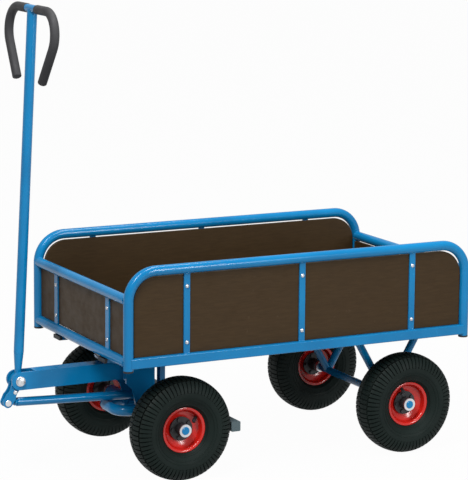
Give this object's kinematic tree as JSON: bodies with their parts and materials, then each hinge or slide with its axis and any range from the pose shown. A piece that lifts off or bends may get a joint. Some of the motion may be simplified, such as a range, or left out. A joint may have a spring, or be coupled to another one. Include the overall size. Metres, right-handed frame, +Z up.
{
  "type": "hand cart",
  "caption": "Four-wheeled hand cart with low plywood walls in a bent tube frame, pneumatic wheels, turntable steering and a looped drawbar that works a brake bar.",
  "frame": {"origin": "on the floor under the middle of the cart's overall box", "axes": "+X forward to the drawbar, +Y to the cart's left side, +Z up"},
  "size_m": [1.1775, 0.583, 1.1629],
  "materials": {
    "blue_paint": "gloss powder coat",
    "brown_board": "film-faced plywood",
    "zinc": "bright zinc plated",
    "bare_steel": "greased steel",
    "grey_steel": "dull coat",
    "black_plastic": "moulded",
    "grip_rubber": "matt soft grip",
    "tyre_rubber": "matt rubber",
    "tube_rubber": "smooth rubber",
    "red_paint": "gloss coat",
    "dark_hub": "moulded",
    "dark_bolt": "black oxide"
  },
  "bodies": {
    "chassis": {"side_tube_left": "blue_paint", "side_tube_right": "blue_paint", "side_rails": "blue_paint", "end_top_rails": "blue_paint", "end_bottom_rails": "blue_paint", "wall_posts": "blue_paint", "side_panel_left": "brown_board", "side_panel_right": "brown_board", "front_panel": "brown_board", "rear_panel": "brown_board", "floor_board": "brown_board", "under_frame": "blue_paint", "leg_caps": "black_plastic", "panel_screws": "zinc", "turntable_upper_ring": "bare_steel", "rear_axle": "blue_paint", "rear_struts": "blue_paint", "rear_axle_rings": "zinc"},
    "bogie": {"turntable_lower_ring": "bare_steel", "turntable_balls": "bare_steel", "kingpin": "zinc", "bogie_plate": "blue_paint", "bogie_cheeks": "blue_paint", "front_axle": "blue_paint", "front_axle_rings": "zinc", "drawbar_arm": "blue_paint", "brake_shaft": "bare_steel"},
    "drawbar": {"drawbar_tube": "blue_paint", "drawbar_foot": "blue_paint", "drawbar_bolts": "zinc", "handle_bar": "blue_paint", "grip_left": "grip_rubber", "grip_right": "grip_rubber"},
    "brake_rod": {"brake_rod": "blue_paint", "rod_eye": "blue_paint", "rod_nut": "blue_paint"},
    "brake_bar": {"brake_bar": "grey_steel", "brake_bar_caps": "black_plastic", "brake_arms": "blue_paint", "brake_rod_pin": "zinc"},
    "wheel_front_left": {"front_left_tyre": "tyre_rubber", "front_left_inner_tube": "tube_rubber", "front_left_rim": "red_paint", "front_left_hub": "dark_hub", "front_left_rim_bolts": "dark_bolt"},
    "wheel_front_right": {"front_right_tyre": "tyre_rubber", "front_right_inner_tube": "tube_rubber", "front_right_rim": "red_paint", "front_right_hub": "dark_hub", "front_right_rim_bolts": "dark_bolt"},
    "wheel_rear_left": {"rear_left_tyre": "tyre_rubber", "rear_left_inner_tube": "tube_rubber", "rear_left_rim": "red_paint", "rear_left_hub": "dark_hub", "rear_left_rim_bolts": "dark_bolt"},
    "wheel_rear_right": {"rear_right_tyre": "tyre_rubber", "rear_right_inner_tube": "tube_rubber", "rear_right_rim": "red_paint", "rear_right_hub": "dark_hub", "rear_right_rim_bolts": "dark_bolt"}
  },
  "joints": [
    {"name": "steering", "type": "hinge", "parent": "chassis", "child": "bogie", "pos_m": [0.21215, 0, 0.2805], "axis": [0, 0, 1], "range_deg": [-45, 45]},
    {"name": "drawbar_tilt", "type": "hinge", "parent": "bogie", "child": "drawbar", "pos_m": [0.54675, 0, 0.2356], "axis": [0, 1, 0], "range_deg": [0, 86]},
    {"name": "brake_rod_swing", "type": "hinge", "parent": "drawbar", "child": "brake_rod", "pos_m": [0.57675, 0, 0.1813], "axis": [0, 1, 0], "range_deg": [-82.5, 0]},
    {"name": "brake_swing", "type": "hinge", "parent": "bogie", "child": "brake_bar", "pos_m": [0.15375, 0, 0.2569], "axis": [0, 1, 0], "range_deg": [0, 63]},
    {"name": "front_left_spin", "type": "hinge", "parent": "bogie", "child": "wheel_front_left", "pos_m": [0.21215, 0.232, 0.13], "axis": [0, 1, 0], "continuous": true},
    {"name": "front_right_spin", "type": "hinge", "parent": "bogie", "child": "wheel_front_right", "pos_m": [0.21215, -0.232, 0.13], "axis": [0, 1, 0], "continuous": true},
    {"name": "rear_left_spin", "type": "hinge", "parent": "chassis", "child": "wheel_rear_left", "pos_m": [-0.42355, 0.241, 0.13], "axis": [0, 1, 0], "continuous": true},
    {"name": "rear_right_spin", "type": "hinge", "parent": "chassis", "child": "wheel_rear_right", "pos_m": [-0.42355, -0.241, 0.13], "axis": [0, 1, 0], "continuous": true}
  ],
  "couplings": [
    {"joint": "brake_rod_swing", "follows": "drawbar_tilt", "ratio": -0.9525},
    {"joint": "brake_swing", "follows": "drawbar_tilt", "ratio": 0.7255}
  ]
}
